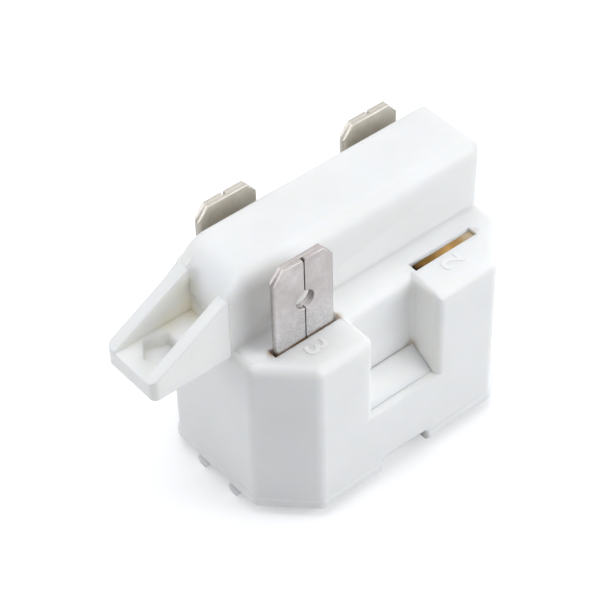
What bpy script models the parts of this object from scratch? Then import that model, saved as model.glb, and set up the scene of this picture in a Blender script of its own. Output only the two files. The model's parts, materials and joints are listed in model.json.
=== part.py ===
"""Compressor start relay: a moulded housing with three blade terminals and the switching parts it holds.

The frame: +X runs along the ridge away from the mounting ear, +Y goes from the face with the open notch
to the rear, +Z is up.  The origin lies under the middle of the whole outline, where the feet rest.
Distances called FROM_LEFT, FROM_FRONT and LEVEL are measured from the left end face, the front face and
the rim of the housing.
"""

import math

import bmesh
import bpy
from mathutils import Matrix, Vector

MM = 0.001

# Housing block
BODY_LENGTH = 28.55 * MM
BODY_WIDTH = 19.5 * MM
DECK_LEVEL = 17.35 * MM
CORNER_CHAMFER = 4.25 * MM
WALL = 1.1 * MM
DECK_THICKNESS = 1.4 * MM
DECK_EDGE_RADIUS = 1.0 * MM
UPRIGHT_EDGE_RADIUS = 0.5 * MM

# Ridge that covers the upper half of the disc
RIDGE_FROM_FRONT = 6.9 * MM
RIDGE_FROM_REAR = 5.45 * MM
RIDGE_LEVEL = 24.2 * MM
RIDGE_WALL_SHARE = 0.182
RIDGE_LEFT_RADIUS = 3.2 * MM
RIDGE_FRONT_RADIUS = 1.7 * MM
RIDGE_RIGHT_RADIUS = 0.4 * MM
RIDGE_UPRIGHT_RADIUS = 0.45 * MM
RIDGE_REAR_RADIUS = 0.2 * MM
RIDGE_RIB = 1.0 * MM
END_STEP = 0.03 * MM

# Mounting ear on the left end
EAR_LENGTH = 7.92 * MM
EAR_WIDTH = 6.45 * MM
EAR_BEFORE_RIDGE_MIDDLE = 0.795 * MM
EAR_BOTTOM_LEVEL = 17.25 * MM
EAR_PLATE = 1.7 * MM
EAR_GUSSET = 1.2 * MM
EAR_GUSSET_LEVEL = 23.6 * MM
EAR_LIP = 0.15 * MM
EAR_ROOT = 1.0 * MM
EAR_END = 0.05 * MM
EAR_ROOT_INSET = 0.2 * MM
EAR_EDGE = 0.3 * MM
EAR_HOLE_RADIUS = 1.88 * MM
EAR_HOLE_FROM_END = 4.6 * MM
EAR_HOLE_SIDES = 5

# Rim bead round the bottom of the housing
BEAD_HEIGHT = 1.3 * MM
BEAD_OUT = 0.15 * MM
BEAD_RADIUS = 0.4 * MM
BEAD_OVERLAP = 0.3 * MM
RIM_GAP_INSET = 1.025 * MM
RIM_GAP_LEVEL = 1.5 * MM
RIM_GAP_STEP = 0.1 * MM
RIM_STEP = 0.03 * MM

# Notches in which the snap arms of the base show
NOTCH_AFTER_SLOT = 0.325 * MM
NOTCH_BEFORE_SLOT = 0.775 * MM
NOTCH_DEPTH = 3.4 * MM
REAR_NOTCH_DEPTH = 2.6 * MM
NOTCH_WALL = 0.8 * MM
NOTCH_SIDE_RADIUS = 0.5 * MM
NOTCH_BACK_RADIUS = 0.9 * MM
WINDOW_STEP = 0.1 * MM
SILL_LEVEL = 7.75 * MM

# Slots in the deck
SLOT_SPARE = 0.8 * MM
SLOT_WIDTH = 1.05 * MM
SLOT_PLAY = 0.1 * MM
SLOT_END_PLAY = 0.24 * MM
SLOT_FROM_LEFT = 2.7 * MM
SLOT_FROM_RIGHT = 3.0 * MM

# Blade terminals, folded from sheet of half the blade's thickness
BLADE_WIDTH = 6.35 * MM
BLADE_THICKNESS = 0.8 * MM
BLADE_CORNER_WIDTH = 1.1 * MM
BLADE_CORNER_HEIGHT = 1.35 * MM
BLADE_EDGE = 0.12 * MM
BLADE_HOLE_RADIUS = 0.95 * MM
BLADE_HOLE_BELOW_TOP = 4.5 * MM
BLADE_UNDER_DECK = 1.4 * MM
SEAM_WIDTH = 0.12 * MM
SEAM_DEPTH = 0.25 * MM
SHANK_WIDTH = 2.6 * MM
FRONT_BLADE_LEVEL = 26.3 * MM
REAR_BLADE_LEVEL = 25.3 * MM
FRONT_BLADE_FROM_FRONT = 3.98 * MM
REAR_BLADE_BEFORE_NOTCH = 6.375 * MM
REAR_BLADE_FROM_RIGHT = 2.35 * MM
REAR_BLADE_FROM_REAR = 4.5 * MM

# Strips that join the terminals
STRIP_THICKNESS = 0.4 * MM
STRIP_BOTTOM_LEVEL = 10.2 * MM
STRIP_HEIGHT = 4.0 * MM
STRIP_WAIST = 0.8 * MM
SLOT_CONTACT_THICKNESS = 0.5 * MM
SLOT_CONTACT_BELOW_DECK = 0.3 * MM

# Rivets
RIVET_RADIUS = 0.5 * MM
RIVET_HEAD_RADIUS = 0.9 * MM
RIVET_HEAD_HEIGHT = 0.4 * MM
RIVET_LEVEL = 12.2 * MM

# Pin sockets and the clips round them
PIN_BORE_RADIUS = 1.5 * MM
SOCKET_WALL = 0.4 * MM
SOCKET_HEIGHT = 6.9 * MM
SOCKET_SPLIT = 0.8 * MM
TANG_WIDTH = 2.4 * MM
TANG_OVERLAP = 2.0 * MM
RUN_SOCKET_FROM_RIGHT = 5.95 * MM
START_SOCKET_BEFORE_NOTCH = 2.825 * MM
CLIP_THICKNESS = 0.35 * MM
CLIP_HEIGHT = 3.2 * MM
CLIP_SPLIT = 1.6 * MM

# Disc and its contact springs
DISC_RADIUS = 9.25 * MM
DISC_THICKNESS_SHARE = 0.35
DISC_EDGE = 0.25 * MM
DISC_CENTRE_LEVEL = 12.4 * MM
SPRING_THICKNESS = 0.3 * MM
SPRING_HEIGHT = 3.4 * MM
SPRING_TO_RIVET = 0.525 * MM
SPRING_FOOT_SHARE = 0.175
SPRING_PAD_SHARE = 0.325

# Base that closes the housing
BASE_LEVEL = 0.5 * MM
BASE_THICKNESS = 1.6 * MM
PIN_ENTRY_RADIUS = 1.75 * MM
PIN_ENTRY_FLARE = 0.6 * MM
COLLAR_WALL = 0.55 * MM
COLLAR_HEIGHT = 1.0 * MM
ARM_PLAY = 0.3 * MM
ARM_THICKNESS = 1.0 * MM
BARB_HEIGHT = 1.25 * MM
BARB_HOOK = 0.5 * MM
BARB_BACK = 0.25 * MM
SADDLE_LENGTH = 9.0 * MM
SADDLE_HEIGHT = 2.2 * MM
FOOT_DROP = 0.9 * MM
FOOT_WIDTH = 1.5 * MM
FOOT_TIP = 0.5 * MM
FOOT_LENGTH = 2.6 * MM
FOOT_PITCH = 4.45 * MM
FEET_BEFORE_MIDDLE = 0.375 * MM

# Clearances
SEAT_GAP = 0.2 * MM
COVER_GAP = 0.2 * MM
TINY = 0.01 * MM

# Places worked out from the sizes above
OUTLINE_LENGTH = EAR_LENGTH + BODY_LENGTH + BEAD_OUT
LEFT = EAR_LENGTH - OUTLINE_LENGTH / 2
RIGHT = LEFT + BODY_LENGTH
FRONT = -BODY_WIDTH / 2
REAR = BODY_WIDTH / 2
RIM = FOOT_DROP
DECK = RIM + DECK_LEVEL
RIDGE_TOP = RIM + RIDGE_LEVEL
SILL = RIM + SILL_LEVEL
BASE_TOP = RIM + BASE_LEVEL + BASE_THICKNESS
RIDGE_FRONT = FRONT + RIDGE_FROM_FRONT
RIDGE_REAR = REAR - RIDGE_FROM_REAR
RIDGE_WIDTH = RIDGE_REAR - RIDGE_FRONT
RIDGE_WALL = RIDGE_WIDTH * RIDGE_WALL_SHARE
DISC_THICKNESS = RIDGE_WIDTH * DISC_THICKNESS_SHARE
DISC_X = LEFT + BODY_LENGTH / 2
DISC_Y = (RIDGE_FRONT + RIDGE_REAR) / 2
DISC_Z = RIM + DISC_CENTRE_LEVEL
SLOT_LENGTH = BLADE_WIDTH + SLOT_SPARE
FRONT_SLOT_X = LEFT + SLOT_FROM_LEFT
OPEN_SLOT_X = RIGHT - SLOT_FROM_RIGHT - SLOT_LENGTH
NOTCH_START = FRONT_SLOT_X + SLOT_LENGTH + NOTCH_AFTER_SLOT
NOTCH_END = OPEN_SLOT_X - NOTCH_BEFORE_SLOT
FRONT_BLADE_Y = FRONT + FRONT_BLADE_FROM_FRONT
REAR_BLADE_Y = REAR - REAR_BLADE_FROM_REAR
RUN_STRIP_Y = FRONT_BLADE_Y + BLADE_THICKNESS + SEAT_GAP
START_STRIP_Y = REAR_BLADE_Y - SEAT_GAP - STRIP_THICKNESS
RUN_TANG_Y = RUN_STRIP_Y + STRIP_THICKNESS + SEAT_GAP
START_TANG_Y = START_STRIP_Y - SEAT_GAP - STRIP_THICKNESS
STRIP_BOTTOM = RIM + STRIP_BOTTOM_LEVEL
STRIP_TOP = STRIP_BOTTOM + STRIP_HEIGHT
RIVET_Z = RIM + RIVET_LEVEL
SOCKET_RADIUS = PIN_BORE_RADIUS + SOCKET_WALL
SOCKET_BOTTOM = BASE_TOP + SEAT_GAP
TANG_TO_AXIS = SOCKET_RADIUS - STRIP_THICKNESS / 2
RUN_SOCKET = Vector((RIGHT - RUN_SOCKET_FROM_RIGHT,
                     RUN_TANG_Y + STRIP_THICKNESS / 2 - TANG_TO_AXIS))
START_SOCKET = Vector((NOTCH_START - START_SOCKET_BEFORE_NOTCH,
                       START_TANG_Y + STRIP_THICKNESS / 2 + TANG_TO_AXIS))
FRONT_BLADE_X = FRONT_SLOT_X + SLOT_END_PLAY
SLOT_CONTACT_X = OPEN_SLOT_X + SLOT_SPARE / 2
REAR_LEFT_BLADE_X = NOTCH_START - REAR_BLADE_BEFORE_NOTCH
REAR_RIGHT_BLADE_X = RIGHT - REAR_BLADE_FROM_RIGHT - BLADE_WIDTH
FRONT_RIVET_X = FRONT_BLADE_X + SHANK_WIDTH / 2
SLOT_RIVET_X = SLOT_CONTACT_X + SHANK_WIDTH / 2 - 2 * SEAT_GAP
REAR_LEFT_RIVET_X = REAR_LEFT_BLADE_X + SHANK_WIDTH / 2
REAR_RIGHT_RIVET_X = REAR_RIGHT_BLADE_X + BLADE_WIDTH - SHANK_WIDTH / 2
SPRING_HALF = SLOT_RIVET_X - RIVET_HEAD_RADIUS - SPRING_TO_RIVET - DISC_X


def clear_scene():
    """Empty the scene and its leftover data."""
    for item in list(bpy.data.objects):
        bpy.data.objects.remove(item, do_unlink=True)
    for group in list(bpy.data.collections):
        bpy.data.collections.remove(group)


def collection(name):
    """A collection linked to the scene."""
    group = bpy.data.collections.new(name)
    bpy.context.scene.collection.children.link(group)
    return group


def material(name, colour, roughness, metallic):
    """A plain Principled material."""
    made = bpy.data.materials.new(name)
    made.use_nodes = True
    shader = made.node_tree.nodes["Principled BSDF"]
    shader.inputs["Base Color"].default_value = (*colour, 1.0)
    shader.inputs["Roughness"].default_value = roughness
    shader.inputs["Metallic"].default_value = metallic
    return made


def mesh_object(name, shape, group, finish=None):
    """An object made of a finished bmesh, which is freed."""
    bmesh.ops.recalc_face_normals(shape, faces=shape.faces)
    mesh = bpy.data.meshes.new(name)
    shape.to_mesh(mesh)
    shape.free()
    made = bpy.data.objects.new(name, mesh)
    group.objects.link(made)
    if finish:
        mesh.materials.append(finish)
    return made


def tool(name, shape):
    """A shape that cuts or joins another one and is not a part by itself."""
    made = mesh_object(name, shape, TOOLS)
    made.hide_render = True
    made.display_type = "WIRE"
    return made


def box(x_range, y_range, z_range):
    """A box between two corners."""
    shape = bmesh.new()
    low = Vector((x_range[0], y_range[0], z_range[0]))
    high = Vector((x_range[1], y_range[1], z_range[1]))
    place = Matrix.Translation((low + high) / 2) @ Matrix.Diagonal((*(high - low), 1.0))
    bmesh.ops.create_cube(shape, size=1.0, matrix=place)
    return shape


def prism(outline, axis, start, stop):
    """An outline pushed along an axis: (x, y) along Z, (x, z) along Y, (y, z) along X."""
    lift = {"X": lambda p: (start, p[0], p[1]),
            "Y": lambda p: (p[0], start, p[1]),
            "Z": lambda p: (p[0], p[1], start)}[axis]
    move = {"X": (1, 0, 0), "Y": (0, 1, 0), "Z": (0, 0, 1)}[axis]
    shape = bmesh.new()
    face = shape.faces.new([shape.verts.new(lift(point)) for point in outline])
    pushed = bmesh.ops.extrude_face_region(shape, geom=[face])
    moved = [item for item in pushed["geom"] if isinstance(item, bmesh.types.BMVert)]
    bmesh.ops.translate(shape, verts=moved, vec=Vector(move) * (stop - start))
    return shape


def rod(centre, radius, length, axis="Z", sides=32, far_radius=None):
    """A cylinder or cone from a centre point on its near end along an axis."""
    turn = {"X": Matrix.Rotation(math.pi / 2, 4, "Y"),
            "Y": Matrix.Rotation(-math.pi / 2, 4, "X"),
            "Z": Matrix.Identity(4)}[axis]
    shape = bmesh.new()
    place = Matrix.Translation(centre) @ turn @ Matrix.Translation((0, 0, length / 2))
    bmesh.ops.create_cone(shape, cap_ends=True, segments=sides, radius1=radius,
                          radius2=radius if far_radius is None else far_radius,
                          depth=length, matrix=place)
    return shape


def boolean(target, other, operation):
    """Cut or join with the exact solver."""
    step = target.modifiers.new(operation.lower(), "BOOLEAN")
    step.operation = operation
    step.solver = "EXACT"
    step.object = other


def cut(target, name, shape):
    """Take a shape out of an object."""
    boolean(target, tool(name, shape), "DIFFERENCE")


def join(target, name, shape):
    """Make a shape part of an object."""
    boolean(target, tool(name, shape), "UNION")


def bevel(target, width, segments=3, by_weight=False):
    """Round the edges of an object."""
    step = target.modifiers.new("bevel", "BEVEL")
    step.width = width
    step.segments = segments
    step.limit_method = "WEIGHT" if by_weight else "ANGLE"
    step.angle_limit = math.radians(30)
    step.use_clamp_overlap = True
    return step


def weigh_edges(target, rule):
    """Give each edge the bevel weight that a rule reads from its two ends."""
    mesh = target.data
    weights = mesh.attributes.new("bevel_weight_edge", "FLOAT", "EDGE")
    for edge in mesh.edges:
        first, second = (mesh.vertices[index].co for index in edge.vertices)
        weights.data[edge.index].value = rule(first, second)


def applied(target):
    """Replace an object's mesh with its evaluated one."""
    bpy.context.view_layer.update()
    seen = target.evaluated_get(bpy.context.evaluated_depsgraph_get())
    mesh = bpy.data.meshes.new_from_object(seen)
    target.modifiers.clear()
    target.data = mesh
    return target


def smooth(target, degrees=35):
    """Shade an object smooth except at its sharp edges."""
    target.data.shade_smooth()
    target.data.set_sharp_from_angle(angle=math.radians(degrees))


def octagon(inset=0.0):
    """The plan of the housing, moved inwards by a distance."""
    x0, x1 = LEFT + inset, RIGHT - inset
    y0, y1 = FRONT + inset, REAR - inset
    corner = CORNER_CHAMFER - inset * (2 - math.sqrt(2))
    return [(x0 + corner, y0), (x1 - corner, y0), (x1, y0 + corner), (x1, y1 - corner),
            (x1 - corner, y1), (x0 + corner, y1), (x0, y1 - corner), (x0, y0 + corner)]


def notch_range(margin=0.0):
    """The X range of the notches."""
    return (NOTCH_START - margin, NOTCH_END + margin)


def rim_gap(margin=0.0):
    """The X range of the gaps in the rim bead."""
    return notch_range(margin - RIM_GAP_INSET)


def housing_block():
    """The chamfered block with its two notches and rounded edges."""
    block = mesh_object("housing", prism(octagon(), "Z", RIM + BEAD_HEIGHT - BEAD_OVERLAP, DECK),
                        PARTS, WHITE_PLASTIC)
    above = (SILL, DECK + WALL)
    cut(block, "front_notch", box(notch_range(), (FRONT - WALL, FRONT + NOTCH_DEPTH), above))
    cut(block, "rear_notch", box(notch_range(), (REAR - REAR_NOTCH_DEPTH, REAR + WALL), above))
    applied(block)
    notch_backs = (FRONT + NOTCH_DEPTH, REAR - REAR_NOTCH_DEPTH)

    def edge_weight(first, second):
        middle = (first + second) / 2
        if (first.xy - second.xy).length < TINY:
            return UPRIGHT_EDGE_RADIUS / DECK_EDGE_RADIUS
        if abs(first.z - DECK) > TINY or abs(second.z - DECK) > TINY:
            return 0.0
        if any(abs(middle.x - side) < TINY for side in notch_range()):
            return NOTCH_SIDE_RADIUS / DECK_EDGE_RADIUS
        if any(abs(middle.y - back) < TINY for back in notch_backs):
            return NOTCH_BACK_RADIUS / DECK_EDGE_RADIUS
        return 1.0

    weigh_edges(block, edge_weight)
    bevel(block, DECK_EDGE_RADIUS, segments=6, by_weight=True)
    return block


def rim_half(name, side):
    """Half of the beaded rim, from gap to gap: side is -1 for the left half and 1 for the right."""
    gap_x = rim_gap()[0] if side < 0 else rim_gap()[1]
    order = (0, 7, 6, 5) if side < 0 else (1, 2, 3, 4)

    def path(inset):
        corners = octagon(inset)
        front_to_rear = [corners[index] for index in order]
        return [(gap_x, front_to_rear[0][1]), *front_to_rear, (gap_x, front_to_rear[-1][1])]

    outline = path(-BEAD_OUT) + path(WALL - RIM_STEP)[::-1]
    half = tool(name, prism(outline, "Z", RIM, RIM + BEAD_HEIGHT))

    def is_outer(point):
        return not LEFT - TINY < point.x < RIGHT + TINY or abs(point.y) > REAR + TINY

    weigh_edges(half, lambda first, second: float(is_outer(first) and is_outer(second)))
    bevel(half, BEAD_RADIUS, segments=4, by_weight=True)
    return half


def ridge():
    """The ridge along the housing, with a rounding of its own on each kind of edge."""
    x_range = (LEFT + END_STEP, RIGHT - END_STEP)
    made = tool("ridge", box(x_range, (RIDGE_FRONT, RIDGE_REAR), (DECK - WALL, RIDGE_TOP)))
    widest = max(RIDGE_LEFT_RADIUS, RIDGE_FRONT_RADIUS, RIDGE_RIGHT_RADIUS)

    def edge_weight(first, second):
        middle = (first + second) / 2
        if abs(first.z - second.z) > TINY:
            return RIDGE_UPRIGHT_RADIUS / widest
        if middle.z < RIDGE_TOP - TINY:
            return 0.0
        if abs(middle.x - x_range[0]) < TINY:
            return RIDGE_LEFT_RADIUS / widest
        if abs(middle.y - RIDGE_FRONT) < TINY:
            return RIDGE_FRONT_RADIUS / widest
        if abs(middle.x - x_range[1]) < TINY:
            return RIDGE_RIGHT_RADIUS / widest
        return RIDGE_REAR_RADIUS / widest

    weigh_edges(made, edge_weight)
    bevel(made, widest, segments=8, by_weight=True)
    return made


def ear():
    """The mounting ear: a plate between two gussets, with a five-sided hole."""
    bottom = RIM + EAR_BOTTOM_LEVEL
    floor = bottom + EAR_PLATE
    tip = LEFT - EAR_LENGTH
    centre = DISC_Y - EAR_BEFORE_RIDGE_MIDDLE
    y_range = (centre - EAR_WIDTH / 2, centre + EAR_WIDTH / 2)
    root = LEFT + EAR_ROOT
    end = LEFT + EAR_END
    apex = RIM + EAR_GUSSET_LEVEL
    rise = (apex - floor - EAR_LIP) / EAR_LENGTH
    side = [(tip, bottom), (root, bottom), (root, apex + rise * EAR_ROOT), (tip, floor + EAR_LIP)]
    made = tool("ear", prism(side, "Y", *y_range))
    channel = (y_range[0] + EAR_GUSSET, y_range[1] - EAR_GUSSET)
    channel_x = (tip - WALL, LEFT + EAR_ROOT_INSET)
    cut(made, "ear_channel", box(channel_x, channel, (floor, RIDGE_TOP + WALL)))
    bevel(made, EAR_EDGE, segments=2)
    above = (RIDGE_TOP - RIDGE_LEFT_RADIUS, RIDGE_TOP + WALL)
    across = (y_range[0] - WALL, y_range[1] + WALL)
    trim = tool("ear_trim", box((end, RIGHT), across, above))
    before_ridge = (y_range[0] - 2 * WALL, RIDGE_FRONT + EAR_ROOT_INSET)
    join(trim, "ear_front_trim", box((end, RIGHT), before_ridge, (bottom - WALL, RIDGE_TOP)))
    boolean(made, trim, "DIFFERENCE")
    hole_centre = Vector((LEFT - EAR_HOLE_FROM_END, centre, bottom - WALL))
    hole = rod(hole_centre, EAR_HOLE_RADIUS, EAR_PLATE + 2 * WALL, sides=EAR_HOLE_SIDES)
    turn = Matrix.Rotation(math.pi / 2, 4, "Z")
    bmesh.ops.rotate(hole, cent=hole_centre, matrix=turn, verts=hole.verts)
    cut(made, "ear_hole", hole)
    return made


def main_cavity():
    """The room inside the block, which leaves the walls round the two notches."""
    made = tool("main_cavity", prism(octagon(WALL), "Z", RIM - WALL, DECK - DECK_THICKNESS))
    above = (SILL - WALL, DECK + WALL)
    beside = notch_range(NOTCH_WALL)
    cut(made, "front_notch_wall",
        box(beside, (FRONT - WALL, FRONT + NOTCH_DEPTH + NOTCH_WALL), above))
    cut(made, "rear_notch_wall",
        box(beside, (REAR - REAR_NOTCH_DEPTH - NOTCH_WALL, REAR + WALL), above))
    return made


def ridge_pockets():
    """The X ranges of the three pockets in the ridge, between the two ribs that flank the disc."""
    half = DISC_RADIUS + SEAT_GAP
    return [(LEFT + RIDGE_WALL, DISC_X - half - RIDGE_RIB),
            (DISC_X - half, DISC_X + half),
            (DISC_X + half + RIDGE_RIB, RIGHT - RIDGE_WALL)]


def slot_ranges():
    """The X and Y ranges of the four slots in the deck."""
    front = (FRONT_BLADE_Y - SLOT_PLAY, FRONT_BLADE_Y - SLOT_PLAY + SLOT_WIDTH)
    rear_stop = REAR_BLADE_Y + BLADE_THICKNESS + SLOT_PLAY
    rear = (rear_stop - SLOT_WIDTH, rear_stop)
    places = [(FRONT_SLOT_X, front), (OPEN_SLOT_X, front),
              (REAR_LEFT_BLADE_X - SLOT_SPARE / 2, rear),
              (REAR_RIGHT_BLADE_X - SLOT_SPARE / 2, rear)]
    return [((x, x + SLOT_LENGTH), y_range) for x, y_range in places]


def foot_places():
    """For each foot of the base: the X ranges of its sole and of its root, and its front in Y."""
    outer, wall, inner = -BEAD_OUT, WALL + COVER_GAP, FOOT_LENGTH
    places = []
    for side in (-1, 1):
        y_front = side * FOOT_PITCH / 2 - FEET_BEFORE_MIDDLE - FOOT_WIDTH / 2
        places.append(((LEFT + outer, LEFT + inner), (LEFT + wall, LEFT + inner), y_front))
        places.append(((RIGHT - inner, RIGHT - outer), (RIGHT - inner, RIGHT - wall), y_front))
    return places


def make_housing():
    """The one-piece moulded housing."""
    body = housing_block()
    boolean(body, main_cavity(), "DIFFERENCE")
    boolean(body, rim_half("left_rim", -1), "UNION")
    boolean(body, rim_half("right_rim", 1), "UNION")
    boolean(body, ridge(), "UNION")
    boolean(body, ear(), "UNION")
    pocket_y = (RIDGE_FRONT + RIDGE_WALL, RIDGE_REAR - RIDGE_WALL)
    pocket_z = (DECK - DECK_THICKNESS - WALL, RIDGE_TOP - RIDGE_WALL)
    for number, x_range in enumerate(ridge_pockets()):
        cut(body, f"ridge_pocket_{number}", box(x_range, pocket_y, pocket_z))
    for number, (x_range, y_range) in enumerate(slot_ranges()):
        through = (DECK - 2 * DECK_THICKNESS, DECK + WALL)
        cut(body, f"slot_{number}", box(x_range, y_range, through))
    window_z = (SILL - 2 * WALL, SILL + WALL)
    window_x = notch_range(-WINDOW_STEP)
    front_y = (FRONT + WALL, FRONT + NOTCH_DEPTH - WINDOW_STEP)
    rear_y = (REAR - REAR_NOTCH_DEPTH + WINDOW_STEP, REAR - WALL)
    cut(body, "front_window", box(window_x, front_y, window_z))
    cut(body, "rear_window", box(window_x, rear_y, window_z))
    gap_x = rim_gap(-RIM_GAP_STEP)
    gap_z = (RIM - WALL, RIM + RIM_GAP_LEVEL)
    cut(body, "front_wall_gap", box(gap_x, (FRONT - WALL, FRONT + 2 * WALL), gap_z))
    cut(body, "rear_wall_gap", box(gap_x, (REAR - 2 * WALL, REAR + WALL), gap_z))
    applied(body)
    smooth(body)
    return body


def arm_profile(outer, inward, notch_depth):
    """The side view of a snap arm, from its root in the base up to the barb over the sill."""
    def along(distance):
        return outer + inward * distance
    hook_level = SILL + SEAT_GAP
    crown = SILL + BARB_HEIGHT + SEAT_GAP
    outside = WALL + COVER_GAP
    inside = outside + ARM_THICKNESS
    crown_inside = notch_depth - BARB_BACK
    return [(along(outside), BASE_TOP - BASE_THICKNESS / 2),
            (along(outside), hook_level),
            (along(outside - BARB_HOOK), hook_level),
            (along(outside - BARB_HOOK), hook_level + SEAT_GAP),
            (along(crown_inside - SEAT_GAP), crown),
            (along(crown_inside), crown),
            (along(crown_inside), hook_level),
            (along(inside), hook_level - ARM_THICKNESS),
            (along(inside), BASE_TOP - BASE_THICKNESS / 2)]


def foot_profile(y_front, steps=5):
    """The side view of a foot: upright in front, a flat tip and a round back."""
    width = FOOT_WIDTH
    top = RIM - COVER_GAP
    tip_front = (width - FOOT_TIP) / 2
    points = [(y_front, top), (y_front + tip_front, 0.0), (y_front + tip_front + FOOT_TIP, 0.0)]
    reach = width - tip_front - FOOT_TIP
    for step in range(1, steps + 1):
        turn = step / steps * math.pi / 2
        points.append((y_front + tip_front + FOOT_TIP + reach * math.sin(turn),
                       top * (1 - math.cos(turn))))
    return points


def make_base():
    """The moulded base: a plate with pin entries, two snap arms, four feet and the disc's saddle."""
    inset = WALL + COVER_GAP
    plate_bottom = RIM + BASE_LEVEL
    base = mesh_object("base_cover", prism(octagon(inset), "Z", plate_bottom, BASE_TOP),
                       PARTS, BASE_PLASTIC)
    arm_x = notch_range(-ARM_PLAY)
    join(base, "front_arm", prism(arm_profile(FRONT, 1, NOTCH_DEPTH), "X", *arm_x))
    join(base, "rear_arm", prism(arm_profile(REAR, -1, REAR_NOTCH_DEPTH), "X", *arm_x))
    for number, (sole_x, root_x, y_front) in enumerate(foot_places()):
        join(base, f"foot_{number}", prism(foot_profile(y_front), "X", *sole_x))
        root_y = (y_front + FOOT_TIP / 2, y_front + FOOT_WIDTH - FOOT_TIP / 2)
        root_z = (RIM - 2 * COVER_GAP, plate_bottom + BASE_THICKNESS / 2)
        join(base, f"foot_root_{number}", box(root_x, root_y, root_z))
    saddle_y = (DISC_Y - DISC_THICKNESS / 2, DISC_Y + DISC_THICKNESS / 2)
    saddle_x = (DISC_X - SADDLE_LENGTH / 2, DISC_X + SADDLE_LENGTH / 2)
    saddle = tool("saddle", box(saddle_x, saddle_y, (plate_bottom, BASE_TOP + SADDLE_HEIGHT)))
    hollow_start = Vector((DISC_X, saddle_y[0] - WALL, DISC_Z))
    hollow = rod(hollow_start, DISC_RADIUS + SEAT_GAP, DISC_THICKNESS + 2 * WALL, "Y", sides=96)
    cut(saddle, "saddle_hollow", hollow)
    boolean(base, saddle, "UNION")
    for name, place in (("run", RUN_SOCKET), ("start", START_SOCKET)):
        foot = Vector((*place, plate_bottom))
        collar = rod(foot, SOCKET_RADIUS + SEAT_GAP + COLLAR_WALL,
                     BASE_THICKNESS + COLLAR_HEIGHT)
        join(base, f"{name}_collar", collar)
        seat = Vector((*place, BASE_TOP))
        cut(base, f"{name}_collar_bore", rod(seat, SOCKET_RADIUS + SEAT_GAP, 2 * COLLAR_HEIGHT))
        entry = Vector((*place, plate_bottom - WALL))
        cut(base, f"{name}_entry", rod(entry, PIN_ENTRY_RADIUS, BASE_THICKNESS + 2 * WALL))
        flare_start = Vector((*place, plate_bottom - PIN_ENTRY_FLARE))
        flare = rod(flare_start, PIN_ENTRY_RADIUS + 2 * PIN_ENTRY_FLARE, 2 * PIN_ENTRY_FLARE,
                    far_radius=PIN_ENTRY_RADIUS)
        cut(base, f"{name}_flare", flare)
    applied(base)
    smooth(base)
    return base


def make_blade(name, x_left, y_front, top, seam_faces_front, shank_on_left):
    """A blade terminal: folded blade above, narrow riveted shank below the deck."""
    x_right = x_left + BLADE_WIDTH
    shoulder = DECK - DECK_THICKNESS - BLADE_UNDER_DECK
    shank_bottom = STRIP_BOTTOM
    shank = (x_left, x_left + SHANK_WIDTH) if shank_on_left else (x_right - SHANK_WIDTH, x_right)
    outline = [(shank[0], shank_bottom), (shank[1], shank_bottom)]
    if shank_on_left:
        outline += [(shank[1], shoulder), (x_right, shoulder)]
    corner_level = top - BLADE_CORNER_HEIGHT
    outline += [(x_right, corner_level), (x_right - BLADE_CORNER_WIDTH, top),
                (x_left + BLADE_CORNER_WIDTH, top), (x_left, corner_level)]
    if not shank_on_left:
        outline += [(x_left, shoulder), (shank[0], shoulder)]
    y_back = y_front + BLADE_THICKNESS
    blade = mesh_object(name, prism(outline, "Y", y_front, y_back), PARTS, PLATED_BRASS)
    bevel(blade, BLADE_EDGE, segments=2)
    middle = (x_left + x_right) / 2
    seam_y = (y_front - WALL, y_front + SEAM_DEPTH) if seam_faces_front else (
        y_back - SEAM_DEPTH, y_back + WALL)
    seam_x = (middle - SEAM_WIDTH / 2, middle + SEAM_WIDTH / 2)
    cut(blade, f"{name}_seam", box(seam_x, seam_y, (shoulder - WALL, top + WALL)))
    hole = Vector((middle, y_front - WALL, top - BLADE_HOLE_BELOW_TOP))
    cut(blade, f"{name}_hole", rod(hole, BLADE_HOLE_RADIUS, BLADE_THICKNESS + 2 * WALL, "Y", 24))
    rivet_x = (shank[0] + shank[1]) / 2
    cut(blade, f"{name}_rivet_hole", rivet_hole(rivet_x, y_front, BLADE_THICKNESS))
    applied(blade)
    smooth(blade)
    return blade


def rivet_hole(x, y_front, thickness):
    """A hole for a rivet through a plate."""
    start = Vector((x, y_front - WALL, RIVET_Z))
    return rod(start, RIVET_RADIUS + SEAT_GAP, thickness + 2 * WALL, "Y", 16)


def make_strip(name, x_range, y_front, rivet_places):
    """A flat strip on edge, with a waist between its ends and a hole for each rivet."""
    waist = (DISC_X - SPRING_HALF, DISC_X + SPRING_HALF)
    outline = [(x_range[0], STRIP_BOTTOM), (waist[0] - STRIP_WAIST, STRIP_BOTTOM),
               (waist[0], STRIP_BOTTOM + STRIP_WAIST), (waist[1], STRIP_BOTTOM + STRIP_WAIST),
               (waist[1] + STRIP_WAIST, STRIP_BOTTOM), (x_range[1], STRIP_BOTTOM),
               (x_range[1], STRIP_TOP), (x_range[0], STRIP_TOP)]
    strip = mesh_object(name, prism(outline, "Y", y_front, y_front + STRIP_THICKNESS),
                        PARTS, BRASS)
    for number, x in enumerate(rivet_places):
        cut(strip, f"{name}_hole_{number}", rivet_hole(x, y_front, STRIP_THICKNESS))
    applied(strip)
    return strip


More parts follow.
